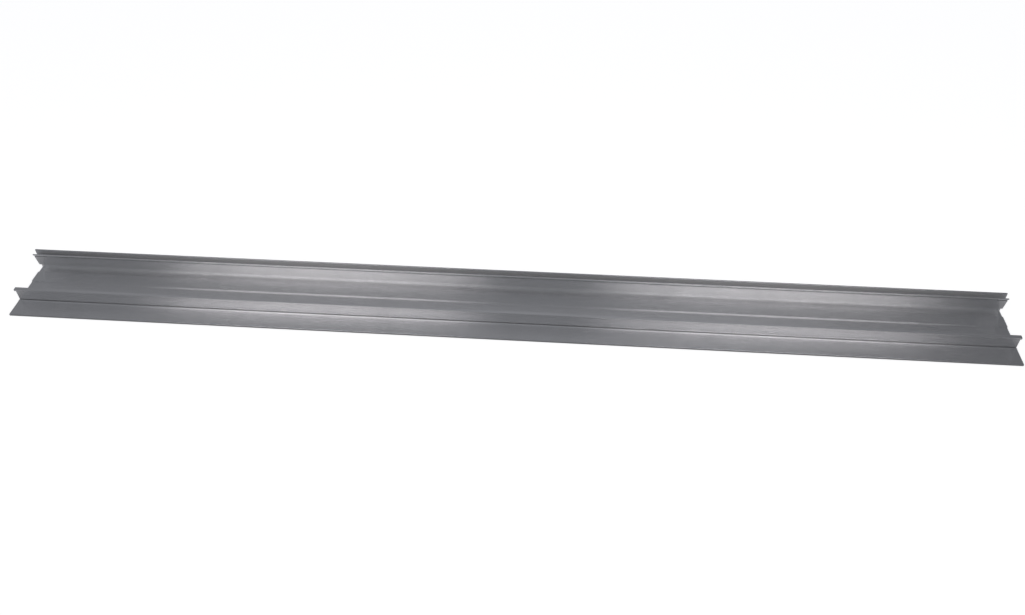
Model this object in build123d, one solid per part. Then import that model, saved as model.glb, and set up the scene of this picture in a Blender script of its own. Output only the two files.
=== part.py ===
from build123d import *
import os
from math import cos, radians, tan

# A cut length of mill-finish aluminium extrusion, one section from end to end.
# A flat base carries a low front wall under a nosed head, a raised pad, and a tall back wall.
# A leaning leg with an undercut lip stands on a ledge of the back wall.
# The leg and the back wall hold a tapered groove, open at the top.
# X runs along the length, Y from the front edge to the back, Z up from the floor. Millimetres.

# Overall
length = 1000.0
overall_width = 76.6
overall_height = 25.5

# Base and front flange
base_thickness = 2.2
flange_width = 23.0
edge_round = 0.4

# Low bead and the notch behind it, along the foot of the front wall
bead_width = 2.2
bead_height = 0.55
bead_round = 0.4
notch_width = 0.5
notch_depth = 0.8

# Front wall and its head, which noses out over the flange
front_wall_height = 17.0
front_wall_thickness = 2.0
head_height = 3.6
head_nose = 2.0
head_overhang = 2.1
head_round = 0.35

# Raised pad on the base
pad_width = 15.0
pad_height = 1.2
pad_setback = 11.1
pad_round = 0.25

# Back wall and the ledge inside it
back_wall_thickness = 1.5
ledge_height = 7.3
ledge_thickness = 1.5
ledge_round = 1.4

# Leaning leg, its undercut lip, and the slope that leads into the groove behind it
leg_reach = 4.4
leg_lean = 9.2
leg_thickness = 1.3
leg_height = 24.2
lip_height = 3.8
lip_nose = 1.4
lip_overhang = 1.0
lip_undercut = 0.5
lip_round = 0.6
lead_in = 1.2

# Blends in the inner corners
wall_blend = 0.8
groove_blend = 0.4
corner_blend = 0.1

half_share = 0.5
crest_share = 0.25
round_share = 0.45


def limited(radius, wall):
    """A rounding of a free edge, never more than its wall can carry."""
    return min(radius, wall * round_share)


def front_corners():
    """Corners of the flange, the bead and notch, the front wall and its head, as (y, z, radius)."""
    bead_back = flange_width - notch_width
    bead_front = bead_back - bead_width
    bead_crest = bead_front + bead_width * crest_share
    bead_top = base_thickness + bead_height
    notch_floor = base_thickness - notch_depth
    notch_blend = limited(corner_blend, min(notch_width, notch_depth))
    wall_back = flange_width + front_wall_thickness
    nose = flange_width - head_overhang
    flange_round = limited(edge_round, base_thickness)
    nose_round = limited(head_round, head_nose)
    return [
        (0, 0, flange_round),
        (0, base_thickness, flange_round),
        (bead_front, base_thickness, notch_blend),
        (bead_crest, bead_top, limited(bead_round, bead_width)),
        (bead_back, base_thickness, notch_blend),
        (bead_back, notch_floor, notch_blend),
        (flange_width, notch_floor, notch_blend),
        (flange_width, front_wall_height - head_height, wall_blend),
        (nose, front_wall_height - head_nose, nose_round),
        (nose, front_wall_height, nose_round),
        (wall_back, front_wall_height, limited(edge_round, front_wall_thickness)),
        (wall_back, base_thickness, wall_blend),
    ]


def pad_corners():
    """Corners of the raised pad, as (y, z, radius)."""
    pad_back = overall_width - pad_setback
    pad_front = pad_back - pad_width
    pad_top = base_thickness + pad_height
    riser_round = limited(pad_round, pad_height)
    return [
        (pad_front, base_thickness, riser_round),
        (pad_front, pad_top, riser_round),
        (pad_back, pad_top, riser_round),
        (pad_back, base_thickness, riser_round),
    ]


def leg_face(height):
    """Y of the leg's front face at a height above the floor."""
    return overall_width - leg_reach - (height - ledge_height) * tan(radians(leg_lean))


def leg_rear(height):
    """Y of the leg's rear face, the groove's slanted side, at a height above the floor."""
    return leg_face(height) + leg_thickness / cos(radians(leg_lean))


def back_corners():
    """Corners of the recess under the ledge, the leg, its lip, the groove and the back wall, as (y, z, radius)."""
    wall_face = overall_width - back_wall_thickness
    groove_floor = ledge_height + ledge_thickness
    lip_root = leg_height - lip_height
    lip_under = leg_height - lip_nose
    lip_tip = leg_face(leg_height) - lip_overhang
    slope_foot = leg_height - lead_in
    tip_round = limited(lip_round, lip_nose)
    neck_blend = limited(corner_blend, lip_undercut)
    wall_round = limited(edge_round, back_wall_thickness)
    return [
        (wall_face, base_thickness, corner_blend),
        (wall_face, ledge_height, corner_blend),
        (leg_face(ledge_height), ledge_height, ledge_round),
        (leg_face(lip_root), lip_root, neck_blend),
        (leg_face(lip_root) + lip_undercut, lip_root, neck_blend),
        (leg_face(lip_under) + lip_undercut, lip_under, neck_blend),
        (lip_tip, lip_under, tip_round),
        (lip_tip, leg_height, tip_round),
        (leg_rear(leg_height) - lead_in, leg_height, corner_blend),
        (leg_rear(slope_foot), slope_foot, corner_blend),
        (leg_rear(groove_floor), groove_floor, groove_blend),
        (wall_face, groove_floor, groove_blend),
        (wall_face, overall_height, wall_round),
        (overall_width, overall_height, wall_round),
        (overall_width, 0, limited(edge_round, base_thickness)),
    ]


def rounded_section(corners):
    """A closed face through the corners, each one rounded by its own radius."""
    face = make_face(Polyline(*[(y, z) for y, z, radius in corners], close=True))
    for y, z, radius in corners:
        corner = face.vertices().sort_by_distance((y, z))[0]
        face = fillet(corner, radius)
    return face


def extruded_profile():
    """The section, centred across the width, drawn out to both sides of the middle of the length."""
    section = rounded_section(front_corners() + pad_corners() + back_corners())
    centred = Pos(-overall_width * half_share, 0) * section
    return extrude(Plane.YZ * centred, amount=length * half_share, both=True)


profile = extruded_profile()
profile.label = "profile"

os.makedirs("parts", exist_ok=True)
export_step(profile, "parts/profile.step")
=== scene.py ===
# %% [markdown]
# # A length of mill-finish aluminium extrusion
# The real object is raw stock: one piece of aluminium, pushed through a die and sawn to length.
# Everything that makes it look real is therefore in three places: a section with the right small
# radii, a skin with lines drawn along the length by the die, and light that the skin can smear.
# The imported model comes in first as a fixed frame, and its box gives the size of the stock.

# %% Load the frame
import bpy
import bmesh
import math
from mathutils import Matrix, Vector


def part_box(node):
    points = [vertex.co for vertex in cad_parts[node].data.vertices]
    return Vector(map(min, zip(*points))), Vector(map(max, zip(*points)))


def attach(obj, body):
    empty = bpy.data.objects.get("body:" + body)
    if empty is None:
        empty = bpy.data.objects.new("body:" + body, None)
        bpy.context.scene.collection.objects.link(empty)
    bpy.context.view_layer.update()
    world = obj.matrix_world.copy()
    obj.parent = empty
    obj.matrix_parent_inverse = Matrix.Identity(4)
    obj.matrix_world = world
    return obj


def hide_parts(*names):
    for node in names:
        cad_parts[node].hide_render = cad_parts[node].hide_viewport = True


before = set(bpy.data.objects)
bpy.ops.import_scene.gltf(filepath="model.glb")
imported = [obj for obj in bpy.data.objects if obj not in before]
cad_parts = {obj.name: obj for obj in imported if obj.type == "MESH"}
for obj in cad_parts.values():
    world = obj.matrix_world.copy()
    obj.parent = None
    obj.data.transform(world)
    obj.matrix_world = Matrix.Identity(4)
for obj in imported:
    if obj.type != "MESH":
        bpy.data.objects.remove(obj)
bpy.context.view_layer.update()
low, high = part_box("profile")
print("profile, metres:", [round(side, 4) for side in high - low])

# %% [markdown]
# ## Camera
# The stock nearly fills the width of the picture and is seen from above the front flange, a little
# right of its middle. A plain camera is enough: its place comes from the ends of the stock, and
# three angles turn it. Rotations multiply from right to left, so the roll is applied first, then the
# tilt up from straight down, then the turn about the upright axis.

# %% Camera
eye = Vector((0.0685, -0.6744, 0.6328))
turn = 4.917
down = 42.655
roll = -0.605
focal_length = 32.1
sensor_width = 36.0

camera_data = bpy.data.cameras.new("camera")
camera_data.lens = focal_length
camera_data.sensor_width = sensor_width
camera = bpy.data.objects.new("camera", camera_data)
aim = (
    Matrix.Rotation(math.radians(turn), 4, "Z")
    @ Matrix.Rotation(math.radians(90 - down), 4, "X")
    @ Matrix.Rotation(math.radians(roll), 4, "Z")
)
camera.matrix_world = Matrix.Translation(eye) @ aim
scene = bpy.context.scene
scene.collection.objects.link(camera)
scene.camera = camera
scene.view_settings.view_transform = "Standard"
looking = aim @ Vector((0, 0, -1))
print("camera at", [round(c, 3) for c in eye], "looking", [round(c, 3) for c in looking])

# %% [markdown]
# ## Node helpers
# Materials, the floor and the world are all node trees. A few small helpers keep the cells short: one
# adds a node and fills in its values, one joins two sockets, and one sets the stops of a colour ramp.

# %% Node helpers
def add(tree, kind, **values):
    """A new node; a value named after an input fills it, any other sets the node's own setting."""
    node = tree.nodes.new(kind)
    for name, value in values.items():
        label = name.replace("_", " ")
        if label in node.inputs:
            node.inputs[label].default_value = value
        else:
            setattr(node, name, value)
    return node


def join(tree, source, target):
    tree.links.new(source, target)


def grey(value):
    return (value, value, value, 1)


def set_stops(ramp, stops):
    """Gives a colour ramp its stops, as (place, colour)."""
    marks = ramp.color_ramp.elements
    while len(marks) < len(stops):
        marks.new(0.5)
    for mark, (place, colour) in zip(marks, stops):
        mark.position = place
        mark.color = colour


# %% [markdown]
# ## Floor and surroundings
# The stock lies on a pale sweep that reads as white. Bare metal shows whatever stands round it, so
# what the lens sees and what the metal sees are kept apart: a ray from the lens meets a bright floor,
# and a ray from the metal meets a dim, slightly blue room. The Light Path node tells the two apart.
# The room is a little brighter behind the stock than in front, and fades on the right-hand side. Its
# walls far out to both sides are bright. The metal shows them only to someone who walks round it.

# %% World
front_room = (0.216, 0.223, 0.241, 1)
back_room = (0.236, 0.241, 0.258, 1)
# Each stop is a place from far left, 0, to far right, 1, and the room's brightness there.
room_sides = (
    (0.12, grey(2.6)),
    (0.21, grey(0.82)),
    (0.27, grey(0.90)),
    (0.56, grey(1.0)),
    (0.73, grey(0.58)),
    (0.745, grey(0.58)),
    (0.84, grey(2.6)),
)
room_turn = 0.6

world = bpy.data.worlds.new("studio")
scene.world = world
world.use_nodes = True
tree = world.node_tree
tree.nodes.clear()
path = add(tree, "ShaderNodeLightPath")
heading = add(tree, "ShaderNodeTexCoord")
parts = add(tree, "ShaderNodeSeparateXYZ")
join(tree, heading.outputs["Generated"], parts.inputs["Vector"])
depth = add(tree, "ShaderNodeMapRange", From_Min=-room_turn, From_Max=room_turn)
join(tree, parts.outputs["Y"], depth.inputs["Value"])
room = add(tree, "ShaderNodeMix", data_type="RGBA")
room.inputs["A"].default_value = front_room
room.inputs["B"].default_value = back_room
join(tree, depth.outputs["Result"], room.inputs["Factor"])
side = add(tree, "ShaderNodeMapRange", From_Min=-1, From_Max=1)
join(tree, parts.outputs["X"], side.inputs["Value"])
fade = add(tree, "ShaderNodeValToRGB")
set_stops(fade, room_sides)
fade.color_ramp.interpolation = "EASE"
join(tree, side.outputs["Result"], fade.inputs["Fac"])
faded = add(tree, "ShaderNodeMix", data_type="RGBA", blend_type="MULTIPLY")
faded.inputs["Factor"].default_value = 1
join(tree, room.outputs["Result"], faded.inputs["A"])
join(tree, fade.outputs["Color"], faded.inputs["B"])
seen = add(tree, "ShaderNodeMix", data_type="RGBA")
seen.inputs["B"].default_value = grey(1)
join(tree, path.outputs["Is Camera Ray"], seen.inputs["Factor"])
join(tree, faded.outputs["Result"], seen.inputs["A"])
sky = add(tree, "ShaderNodeBackground")
join(tree, seen.outputs["Result"], sky.inputs["Color"])
out = add(tree, "ShaderNodeOutputWorld")
join(tree, sky.outputs["Background"], out.inputs["Surface"])
print("world:", len(tree.nodes), "nodes")

# %% [markdown]
# The floor is one large flat sheet. To the metal it is a middling grey in front, and white card behind
# the stock and beyond its ends, which is what the back wall and the cut ends mirror. The change from
# one to the other lies under the stock, and a ray from the lens never sees it.

# %% Floor
floor_half = 6.0
floor_gap = 0.0002
floor_tone = 0.34
card_tone = 0.9
card_blend = 0.02
floor_white = 0.45
floor_glow = 0.83

floor_mesh = bpy.data.meshes.new("floor")
sheet = bmesh.new()
bmesh.ops.create_grid(sheet, x_segments=1, y_segments=1, size=floor_half)
sheet.to_mesh(floor_mesh)
sheet.free()
floor = bpy.data.objects.new("floor", floor_mesh)
floor.location.z = low.z - floor_gap
scene.collection.objects.link(floor)

paper = bpy.data.materials.new("pale_sweep")
paper.use_nodes = True
tree = paper.node_tree
tree.nodes.clear()
path = add(tree, "ShaderNodeLightPath")
spot = add(tree, "ShaderNodeTexCoord")
parts = add(tree, "ShaderNodeSeparateXYZ")
join(tree, spot.outputs["Object"], parts.inputs["Vector"])
outward = add(tree, "ShaderNodeMath", operation="ABSOLUTE")
join(tree, parts.outputs["X"], outward.inputs["Value"])
beyond = add(tree, "ShaderNodeMapRange", From_Min=high.x, From_Max=high.x + card_blend)
join(tree, outward.outputs["Value"], beyond.inputs["Value"])
behind = add(tree, "ShaderNodeMapRange", From_Min=high.y - card_blend, From_Max=high.y)
join(tree, parts.outputs["Y"], behind.inputs["Value"])
either = add(tree, "ShaderNodeMath", operation="MAXIMUM")
join(tree, beyond.outputs["Result"], either.inputs[0])
join(tree, behind.outputs["Result"], either.inputs[1])
card = add(tree, "ShaderNodeMapRange", To_Min=floor_tone, To_Max=card_tone)
join(tree, either.outputs["Value"], card.inputs["Value"])
plain = add(tree, "ShaderNodeBsdfDiffuse")
join(tree, card.outputs["Result"], plain.inputs["Color"])
bright = add(tree, "ShaderNodeBsdfDiffuse", Color=grey(floor_white))
glow = add(tree, "ShaderNodeEmission", Color=grey(1), Strength=floor_glow)
lit = add(tree, "ShaderNodeAddShader")
pick = add(tree, "ShaderNodeMixShader")
out = add(tree, "ShaderNodeOutputMaterial")
join(tree, bright.outputs["BSDF"], lit.inputs[0])
join(tree, glow.outputs["Emission"], lit.inputs[1])
join(tree, path.outputs["Is Camera Ray"], pick.inputs["Fac"])
join(tree, plain.outputs["BSDF"], pick.inputs[1])
join(tree, lit.outputs["Shader"], pick.inputs[2])
join(tree, pick.outputs["Shader"], out.inputs["Surface"])
floor_mesh.materials.append(paper)
print("floor at z", round(floor.location.z, 4))

# %% [markdown]
# ## Lamps
# Soft boxes stand behind the camera, on its left and on its right. Their smeared reflections are the
# two bright stretches along the stock, and the gap between them is the dull stretch in the middle. The
# boxes are oval, so each stretch fades towards its ends. Each side has a high box and a weaker low one.
# An upright wall and the flat in front of it send light back the way it came, so they show the low box;
# the leaning leg sends it back steeper and shows the high one. With both, they come out equally bright.

# %% Soft boxes
box_distance = 1.5
box_colour = (1.0, 0.962, 0.985)


def soft_box(name, near, far, elevation, tall, glow):
    """An oval box aimed at the stock, from near to far beside the camera; glow is its power per area."""
    lamp = bpy.data.lights.new(name, "AREA")
    lamp.shape = "ELLIPSE"
    lamp.size = abs(far - near)
    lamp.size_y = tall
    lamp.energy = glow * lamp.size * tall * math.pi / 4
    lamp.color = box_colour
    holder = bpy.data.objects.new(name, lamp)
    rise = math.radians(elevation)
    across = eye.x + (far + near) / 2
    holder.location = (across, -box_distance * math.cos(rise), box_distance * math.sin(rise))
    holder.rotation_euler = (math.radians(90) - rise, 0, 0)
    holder.visible_camera = False
    scene.collection.objects.link(holder)
    print(name, "at", [round(c, 2) for c in holder.location])


high_tall = 0.53
low_tall = 0.26
soft_box("left_high", near=-0.23, far=-1.10, elevation=61.0, tall=high_tall, glow=5.3)
soft_box("left_low", near=-0.255, far=-1.16, elevation=39.0, tall=low_tall, glow=2.3)
soft_box("right_high", near=0.075, far=0.975, elevation=62.5, tall=high_tall, glow=5.6)
soft_box("right_low", near=0.145, far=0.885, elevation=39.0, tall=low_tall, glow=1.0)

# %% [markdown]
# ## Section
# The die gives the stock its whole shape, so the section is drawn once, in metres, with Y from the
# front edge to the back and Z up. Each corner carries its own radius, because a die has no truly
# sharp corners and the thin bright lines on real stock are exactly these radii.

# %% Sizes of the section
width = high.y - low.y
height = high.z - low.z
base_thickness = 0.0022
flange_width = 0.0230
bead_width = 0.0022
bead_height = 0.00055
crest_share = 0.25
notch_width = 0.0005
notch_depth = 0.0008
front_wall_height = 0.0170
front_wall_thickness = 0.0020
head_height = 0.0036
head_nose = 0.0020
head_overhang = 0.0021
pad_width = 0.0150
pad_height = 0.0012
pad_setback = 0.0111
back_wall_thickness = 0.0015
ledge_height = 0.0073
ledge_thickness = 0.0015
leg_reach = 0.0044
leg_lean = math.radians(9.2)
leg_thickness = 0.0013
leg_height = 0.0242
lip_height = 0.0038
lip_nose = 0.0014
lip_overhang = 0.0010
lip_undercut = 0.0005
lead_in = 0.0012
print("section sizes, millimetres:", round(width * 1000, 1), "wide,", round(height * 1000, 1), "high")

# %% Radii of the section
edge_round = 0.0004
bead_round = 0.0004
head_round = 0.00035
pad_round = 0.00025
lip_round = 0.0006
ledge_round = 0.0014
wall_blend = 0.0008
groove_blend = 0.0004
corner_blend = 0.0001
print("radii, millimetres: from", round(corner_blend * 1000, 2), "to", round(ledge_round * 1000, 2))

# %% [markdown]
# The leg leans, so the place of its two faces depends on the level above the floor. Everything else in
# the list below is a plain sum of the sizes. The list goes once round the section, starting at the
# floor under the front edge, and the corners of the groove are marked because its finish differs.

# %% Corners of the section
def leg_face(level):
    """Y of the leaning leg's front face at a level above the floor."""
    return width - leg_reach - (level - ledge_height) * math.tan(leg_lean)


def leg_rear(level):
    return leg_face(level) + leg_thickness / math.cos(leg_lean)


bead_back = flange_width - notch_width
bead_front = bead_back - bead_width
bead_crest = bead_front + bead_width * crest_share
bead_top = base_thickness + bead_height
notch_floor = base_thickness - notch_depth
wall_back = flange_width + front_wall_thickness
nose = flange_width - head_overhang
pad_back = width - pad_setback
pad_front = pad_back - pad_width
pad_top = base_thickness + pad_height
wall_face = width - back_wall_thickness
groove_floor = ledge_height + ledge_thickness
lip_root = leg_height - lip_height
lip_under = leg_height - lip_nose
lip_tip = leg_face(leg_height) - lip_overhang
slope_foot = leg_height - lead_in

front_corners = [
    (0, 0, edge_round),
    (0, base_thickness, edge_round),
    (bead_front, base_thickness, corner_blend),
    (bead_crest, bead_top, bead_round),
    (bead_back, base_thickness, corner_blend),
    (bead_back, notch_floor, corner_blend),
    (flange_width, notch_floor, corner_blend),
    (flange_width, front_wall_height - head_height, wall_blend),
    (nose, front_wall_height - head_nose, head_round),
    (nose, front_wall_height, head_round),
    (wall_back, front_wall_height, edge_round),
    (wall_back, base_thickness, wall_blend),
    (pad_front, base_thickness, pad_round),
    (pad_front, pad_top, pad_round),
    (pad_back, pad_top, pad_round),
    (pad_back, base_thickness, pad_round),
    (wall_face, base_thickness, corner_blend),
    (wall_face, ledge_height, corner_blend),
    (leg_face(ledge_height), ledge_height, ledge_round),
    (leg_face(lip_root), lip_root, corner_blend),
    (leg_face(lip_root) + lip_undercut, lip_root, corner_blend),
    (leg_face(lip_under) + lip_undercut, lip_under, corner_blend),
    (lip_tip, lip_under, lip_round),
    (lip_tip, leg_height, lip_round),
    (leg_rear(leg_height) - lead_in, leg_height, corner_blend),
]
groove_corners = [
    (leg_rear(slope_foot), slope_foot, corner_blend),
    (leg_rear(groove_floor), groove_floor, groove_blend),
    (wall_face, groove_floor, groove_blend),
]
back_corners = [
    (wall_face, height, edge_round),
    (width, height, edge_round),
    (width, 0, edge_round),
]
corners = front_corners + groove_corners + back_corners
print("section:", len(corners), "corners,", round(width, 4), "m wide")

# %% [markdown]
# ## Outline
# Each corner becomes an arc that touches both of its sides. Blender's Bevel could round a finished
# mesh, but it takes one width at a time, while here every corner has a radius of its own. Working the
# arcs out also gives the outward direction at each point, which the next step needs. A large arc gets
# more pieces than a small one, so that no chord strays from the arc by more than the allowed error.

# %% Rounded outline
chord_error = 0.000003
least_pieces = 3


def rounded(before, corner, after, radius):
    """Points on the arc that rounds a corner, with the outline's outward direction at each."""
    corner = Vector(corner)
    back = (Vector(before) - corner).normalized()
    ahead = (Vector(after) - corner).normalized()
    half = back.angle(ahead) / 2
    centre = corner + (back + ahead).normalized() * radius / math.sin(half)
    start = corner + back * radius / math.tan(half) - centre
    sweep = start.angle_signed(corner + ahead * radius / math.tan(half) - centre)
    bulge = 1 if sweep > 0 else -1
    piece = 2 * math.acos(1 - chord_error / radius)
    pieces = max(least_pieces, math.ceil(abs(sweep) / piece))
    points = []
    for step in range(pieces + 1):
        spoke = Matrix.Rotation(-sweep * step / pieces, 2) @ start
        points.append((centre + spoke, bulge * spoke.normalized()))
    return points


outline = []
groove_points = set()
for index, (y, z, radius) in enumerate(corners):
    before = corners[index - 1][:2]
    after = corners[(index + 1) % len(corners)][:2]
    arc = rounded(before, (y, z), after, radius)
    if corners[index] in groove_corners:
        groove_points.update(range(len(outline), len(outline) + len(arc) + 1))
    outline += arc
print("outline:", len(outline), "points,", len(groove_points), "of them in the groove")

# %% [markdown]
# ## Sweep
# The outline is carried along the length as rings of points joined by faces. Rings every few
# centimetres keep the faces from growing into needles. The saw leaves a sharp edge that is broken with
# a file, so the last ring at each end is a little smaller than the rest. Three finishes are set face
# by face: the drawn skin, the sawn ends, and the inside of the groove.

# %% Profile mesh
ring_spacing = 0.025
edge_break = 0.00008
flat_weight = 100
skin_slot, saw_slot, groove_slot = 0, 1, 2


def ring(mesh, x, inset):
    """The outline as mesh points at one place along the length, drawn in by the inset."""
    places = [(point - outward * inset) for point, outward in outline]
    return [mesh.verts.new((x, low.y + place.x, low.z + place.y)) for place in places]


bays = round((high.x - low.x) / ring_spacing)
drawn_length = high.x - low.x - 2 * edge_break
stations = [(low.x + edge_break + drawn_length * k / bays, 0) for k in range(bays + 1)]
stations = [(low.x, edge_break)] + stations + [(high.x, edge_break)]

solid = bmesh.new()
rings = [ring(solid, x, inset) for x, inset in stations]
for first, second in zip(rings, rings[1:]):
    for k in range(len(outline)):
        face = solid.faces.new((first[k - 1], first[k], second[k], second[k - 1]))
        face.smooth = True
        face.material_index = groove_slot if k in groove_points else skin_slot
for end in (rings[0], rings[-1]):
    solid.faces.new(end).material_index = saw_slot
bmesh.ops.recalc_face_normals(solid, faces=solid.faces)
bmesh.ops.triangulate(solid, faces=[f for f in solid.faces if len(f.verts) > 4])
profile_mesh = bpy.data.meshes.new("extruded_profile")
solid.to_mesh(profile_mesh)
solid.free()
profile = bpy.data.objects.new("extruded_profile", profile_mesh)
scene.collection.objects.link(profile)
weighted = profile.modifiers.new("even_normals", "WEIGHTED_NORMAL")
weighted.weight = flat_weight
weighted.keep_sharp = True
print("profile mesh:", len(profile_mesh.polygons), "faces on", len(rings), "rings")

# %% [markdown]
# An inset that is too large for a tight corner turns the end ring inside out there, and the flat end
# then covers the open channel. Comparing the area of an end with that of the outline shows it at once.

# %% Check the ends
saw_faces = [face for face in profile_mesh.polygons if face.material_index == saw_slot]
end_area = sum(face.area for face in saw_faces) / 2
points = [point for point, outward in outline]
drawn_area = abs(sum(p.cross(q) for p, q in zip(points, points[1:] + points[:1]))) / 2
square_mm = 1e6
print("section, square millimetres:", round(drawn_area * square_mm, 2), "drawn")
print("section, square millimetres:", round(end_area * square_mm, 2), "at each end")

# %% [markdown]
# ## Shared effects
# The die drags fine lines along the whole length, and painted shade and painted highlights lie along
# some corners and edges. Both are used more than once, so each is a node group: built once, then placed
# with its own values. A prism looks the same all along X, so the distance to a line in Y and Z finds any
# corner.

# %% Group helper
def new_group(name, inputs, outputs):
    """An empty shader group with named float sockets, and its two end nodes."""
    group = bpy.data.node_groups.new(name, "ShaderNodeTree")
    for label, value in inputs.items():
        socket = group.interface.new_socket(label, in_out="INPUT", socket_type="NodeSocketFloat")
        socket.default_value = value
    for label in outputs:
        group.interface.new_socket(label, in_out="OUTPUT", socket_type="NodeSocketFloat")
    return group, add(group, "NodeGroupInput"), add(group, "NodeGroupOutput")


def place(tree, group, **values):
    """A placed copy of a group; each value fills the input of that name."""
    node = add(tree, "ShaderNodeGroup", node_tree=group)
    for name, value in values.items():
        node.inputs[name.replace("_", " ")].default_value = value
    return node


# %% Near a line
line_inputs = {"Line Y": 0, "Line Z": 0, "Reach": 0.001}
near_line, given, result = new_group("near_line", line_inputs, ["Mask"])
spot = add(near_line, "ShaderNodeTexCoord")
spread = add(near_line, "ShaderNodeSeparateXYZ")
join(near_line, spot.outputs["Object"], spread.inputs["Vector"])
line = add(near_line, "ShaderNodeCombineXYZ")
here = add(near_line, "ShaderNodeCombineXYZ")
for axis in "YZ":
    join(near_line, given.outputs["Line " + axis], line.inputs[axis])
    join(near_line, spread.outputs[axis], here.inputs[axis])
gap = add(near_line, "ShaderNodeVectorMath", operation="DISTANCE")
join(near_line, here.outputs["Vector"], gap.inputs[0])
join(near_line, line.outputs["Vector"], gap.inputs[1])
soft = add(near_line, "ShaderNodeMapRange", To_Min=1.0, To_Max=0.0)
soft.interpolation_type = "SMOOTHSTEP"
join(near_line, gap.outputs["Value"], soft.inputs["Value"])
join(near_line, given.outputs["Reach"], soft.inputs["From Max"])
join(near_line, soft.outputs["Result"], result.inputs["Mask"])
print("group near_line:", len(near_line.nodes), "nodes")

# %% [markdown]
# The die's bearing surfaces are never perfectly smooth, and every flaw in them is drawn into a line that
# runs on for a span or more before it changes. A noise stretched about three hundredfold along X gives
# such lines. The group puts out fine lines, and broader bands from the same noise at a quarter of its
# scale.

# %% Drawn lines
band_scale = 0.25

line_inputs = {"Line Length": 0.25, "Line Width": 0.0008}
die_lines, given, result = new_group("die_lines", line_inputs, ["Lines", "Bands"])
spot = add(die_lines, "ShaderNodeTexCoord")
cell = add(die_lines, "ShaderNodeCombineXYZ")
join(die_lines, given.outputs["Line Length"], cell.inputs["X"])
join(die_lines, given.outputs["Line Width"], cell.inputs["Y"])
join(die_lines, given.outputs["Line Width"], cell.inputs["Z"])
stretched = add(die_lines, "ShaderNodeVectorMath", operation="DIVIDE")
join(die_lines, spot.outputs["Object"], stretched.inputs[0])
join(die_lines, cell.outputs["Vector"], stretched.inputs[1])
for label, scale in (("Lines", 1.0), ("Bands", band_scale)):
    grain = add(die_lines, "ShaderNodeTexNoise", Scale=scale, Detail=2.0, Roughness=0.6)
    join(die_lines, stretched.outputs["Vector"], grain.inputs["Vector"])
    join(die_lines, grain.outputs["Fac"], result.inputs[label])
print("group die_lines:", len(die_lines.nodes), "nodes")

# %% [markdown]
# Stock is carried, stacked and wiped, and that leaves dull clouds a few centimetres across. They are
# round rather than drawn out, and only where a broad noise rises above its middle.

# %% Handling marks
mark_start = 0.48
mark_full = 0.72

handling, given, result = new_group("handling", {"Size": 0.05}, ["Mask"])
spot = add(handling, "ShaderNodeTexCoord")
smaller = add(handling, "ShaderNodeMath", operation="DIVIDE")
smaller.inputs[0].default_value = 1
join(handling, given.outputs["Size"], smaller.inputs[1])
cloud = add(handling, "ShaderNodeTexNoise", Detail=4.0, Roughness=0.55)
join(handling, spot.outputs["Object"], cloud.inputs["Vector"])
join(handling, smaller.outputs["Value"], cloud.inputs["Scale"])
dull = add(handling, "ShaderNodeMapRange", From_Min=mark_start, From_Max=mark_full)
dull.interpolation_type = "SMOOTHSTEP"
join(handling, cloud.outputs["Fac"], dull.inputs["Value"])
join(handling, dull.outputs["Result"], result.inputs["Mask"])
print("group handling:", len(handling.nodes), "nodes")

# %% [markdown]
# ## Bare metal
# Clean aluminium is a metal and nothing else, so the Principled shader needs only a colour and a
# roughness. Its lines run along the length and spread every reflection across it. Anisotropy does the
# spreading: the tangent is the X axis all over, and a quarter turn sends the long side of each
# highlight across the lines. The same function makes all three finishes.

# %% Bare metal
quarter_turn = 0.25
noise_low = 0.3
noise_high = 0.7


def bare_metal(name, tone, roughness, anisotropy):
    """A plain metal material whose highlights spread across the drawn lines."""
    material = bpy.data.materials.new(name)
    material.use_nodes = True
    tree = material.node_tree
    metal = tree.nodes["Principled BSDF"]
    metal.inputs["Base Color"].default_value = grey(tone)
    metal.inputs["Metallic"].default_value = 1.0
    metal.inputs["Roughness"].default_value = roughness
    metal.inputs["Anisotropic"].default_value = anisotropy
    metal.inputs["Anisotropic Rotation"].default_value = quarter_turn
    along = add(tree, "ShaderNodeCombineXYZ", X=1.0)
    join(tree, along.outputs["Vector"], metal.inputs["Tangent"])
    return material, tree, metal


def spread_about(tree, source, middle, swing):
    """A noise, within its usual limits, becomes a value that swings to both sides of the middle."""
    span = add(tree, "ShaderNodeMapRange", From_Min=noise_low, From_Max=noise_high)
    span.inputs["To Min"].default_value = middle - swing
    span.inputs["To Max"].default_value = middle + swing
    join(tree, source, span.inputs["Value"])
    return span.outputs["Result"]


def times(tree, first, second):
    """The product of two colours or tones."""
    product = add(tree, "ShaderNodeMix", data_type="RGBA", blend_type="MULTIPLY")
    product.inputs["Factor"].default_value = 1
    join(tree, first, product.inputs["A"])
    join(tree, second, product.inputs["B"])
    return product.outputs["Result"]


# %% [markdown]
# ## Mill-finish skin
# One tone serves the whole skin, and a few lines along the stock depart from it. Painted shade darkens
# the notch and the neck under the lip. Painted highlights lighten the crest of the bead, the nose of the
# lip and the top of the head, and the recess under the ledge is painted lighter, as though more light
# fell there.

# %% Tones of the skin, with its painted shade and painted highlights
clean_metal = 0.87
skin_roughness = 0.25
skin_spread = 1.0
# Painted shade: the notch and the neck under the lip are darkened as though they lay in shade.
notch_painted_shade = 0.5
notch_shade_reach = 0.0010
neck_painted_shade = 0.60
neck_shade_reach = 0.0012
neck_rise = 0.0004
# Painted highlights: the crest of the bead, the nose of the lip and the top of the head are lightened
# where highlights fall.
painted_highlight_tone = 0.95
crest_highlight_reach = 0.0010
lip_painted_highlight = 1.0
lip_highlight_reach = 0.0016
head_highlight_reach = 0.0022
# Painted light: the recess under the ledge is lightened as though more light fell there.
recess_painted_light = 0.96
recess_light_reach = 0.0070

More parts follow.
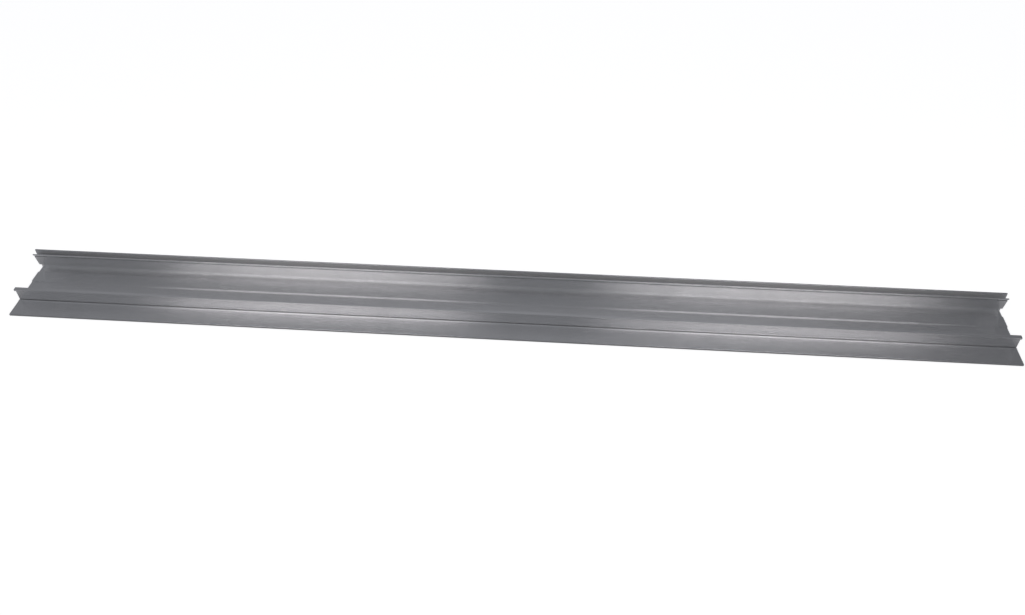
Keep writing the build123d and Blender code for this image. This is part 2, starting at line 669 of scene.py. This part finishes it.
skin, tree, metal = bare_metal("mill_finish", clean_metal, skin_roughness, skin_spread)
neck_level = lip_root + neck_rise
# Each entry paints shade or light into the skin's colour near one line along the stock: its place, reach
# and tone.
painted_light_lines = [
    ((bead_back + flange_width) / 2, notch_floor, notch_shade_reach, notch_painted_shade),
    (leg_face(neck_level) + lip_undercut, neck_level, neck_shade_reach, neck_painted_shade),
    (bead_crest, bead_top, crest_highlight_reach, painted_highlight_tone),
    (lip_tip, leg_height - lip_nose / 2, lip_highlight_reach, lip_painted_highlight),
    ((nose + wall_back) / 2, front_wall_height, head_highlight_reach, painted_highlight_tone),
    (wall_face, base_thickness, recess_light_reach, recess_painted_light),
]
colour = None
for y, z, reach, tone in painted_light_lines:
    close = place(tree, near_line, Line_Y=low.y + y, Line_Z=low.z + z, Reach=reach)
    painted_light_mix = add(tree, "ShaderNodeMix", data_type="RGBA")
    painted_light_mix.inputs["A"].default_value = grey(clean_metal)
    painted_light_mix.inputs["B"].default_value = grey(tone)
    join(tree, close.outputs["Mask"], painted_light_mix.inputs["Factor"])
    if colour:
        join(tree, colour, painted_light_mix.inputs["A"])
    colour = painted_light_mix.outputs["Result"]
print("mill_finish:", len(painted_light_lines), "lines of their own tone")

# %% [markdown]
# The drawn lines then work on all three things that the eye reads. They vary the tone a little, the
# broad bands vary the roughness, and the fine lines lift the surface by a few microns, so a highlight
# breaks up along them. The handling marks take off some brightness and add some roughness.

# %% Drawn lines on the skin
line_swing = 0.02
band_swing = 0.012
line_depth = 0.0000015
mark_dull = 0.03
mark_rough = 0.01

drawn = place(tree, die_lines)
marks = place(tree, handling)
colour = times(tree, colour, spread_about(tree, drawn.outputs["Lines"], 1.0, line_swing))
clouded = add(tree, "ShaderNodeMapRange", To_Min=1.0, To_Max=1.0 - mark_dull)
join(tree, marks.outputs["Mask"], clouded.inputs["Value"])
colour = times(tree, colour, clouded.outputs["Result"])
join(tree, colour, metal.inputs["Base Color"])

rougher = add(tree, "ShaderNodeMath", operation="MULTIPLY_ADD")
rougher.inputs[1].default_value = mark_rough
join(tree, marks.outputs["Mask"], rougher.inputs[0])
join(tree, spread_about(tree, drawn.outputs["Bands"], skin_roughness, band_swing), rougher.inputs[2])
join(tree, rougher.outputs["Value"], metal.inputs["Roughness"])

ridges = add(tree, "ShaderNodeBump", Strength=1.0, Distance=line_depth)
join(tree, drawn.outputs["Lines"], ridges.inputs["Height"])
join(tree, ridges.outputs["Normal"], metal.inputs["Normal"])
print("drawn lines, microns:", round(line_depth * 1e6, 1))

# %% [markdown]
# ## Groove and sawn ends
# Inside the groove the die has long thin tongues, which chatter and leave a much rougher skin. It spreads
# light so widely that the groove shows one flat tone. The ends are cut with a round blade: its teeth
# leave shallow arcs about a centre outside the stock, which a ring-shaped Wave texture draws.

# %% Groove
groove_tone = 0.85
groove_roughness = 0.62
groove_spread = 1.0

groove_skin, tree, metal = bare_metal("groove_skin", groove_tone, groove_roughness, groove_spread)
drawn = place(tree, die_lines)
tone = spread_about(tree, drawn.outputs["Lines"], groove_tone, line_swing)
join(tree, tone, metal.inputs["Base Color"])
print("groove_skin: roughness", groove_roughness)

# %% Sawn ends
saw_tone = 0.80
saw_swing = 0.08
saw_roughness = 0.35
saw_spread = 0.3
saw_wander = 1.5
wave_turns = 20  # radians per metre of a Wave texture at scale 1
blade_place = (0.0, -0.03, 0.16)
tooth_spacing = 0.0009
saw_depth = 0.00002

sawn, tree, metal = bare_metal("sawn_end", saw_tone, saw_roughness, saw_spread)
spot = add(tree, "ShaderNodeTexCoord")
from_blade = add(tree, "ShaderNodeVectorMath", operation="SUBTRACT")
from_blade.inputs[1].default_value = blade_place
join(tree, spot.outputs["Object"], from_blade.inputs[0])
arcs = add(tree, "ShaderNodeTexWave", wave_type="RINGS", rings_direction="X")
arcs.inputs["Scale"].default_value = 2 * math.pi / (wave_turns * tooth_spacing)
arcs.inputs["Distortion"].default_value = saw_wander
arcs.inputs["Detail"].default_value = 3.0
arcs.inputs["Detail Roughness"].default_value = 0.6
join(tree, from_blade.outputs["Vector"], arcs.inputs["Vector"])
scored = add(tree, "ShaderNodeMapRange", To_Min=saw_tone - saw_swing, To_Max=saw_tone + saw_swing)
join(tree, arcs.outputs["Fac"], scored.inputs["Value"])
join(tree, scored.outputs["Result"], metal.inputs["Base Color"])
cut = add(tree, "ShaderNodeBump", Strength=1.0, Distance=saw_depth)
join(tree, arcs.outputs["Fac"], cut.inputs["Height"])
join(tree, cut.outputs["Normal"], metal.inputs["Normal"])
for finish in (skin, sawn, groove_skin):
    profile_mesh.materials.append(finish)
print("finishes:", [finish.name for finish in profile_mesh.materials])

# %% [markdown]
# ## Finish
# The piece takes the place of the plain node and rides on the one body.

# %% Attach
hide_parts("profile")
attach(profile, "root")
bpy.context.view_layer.update()
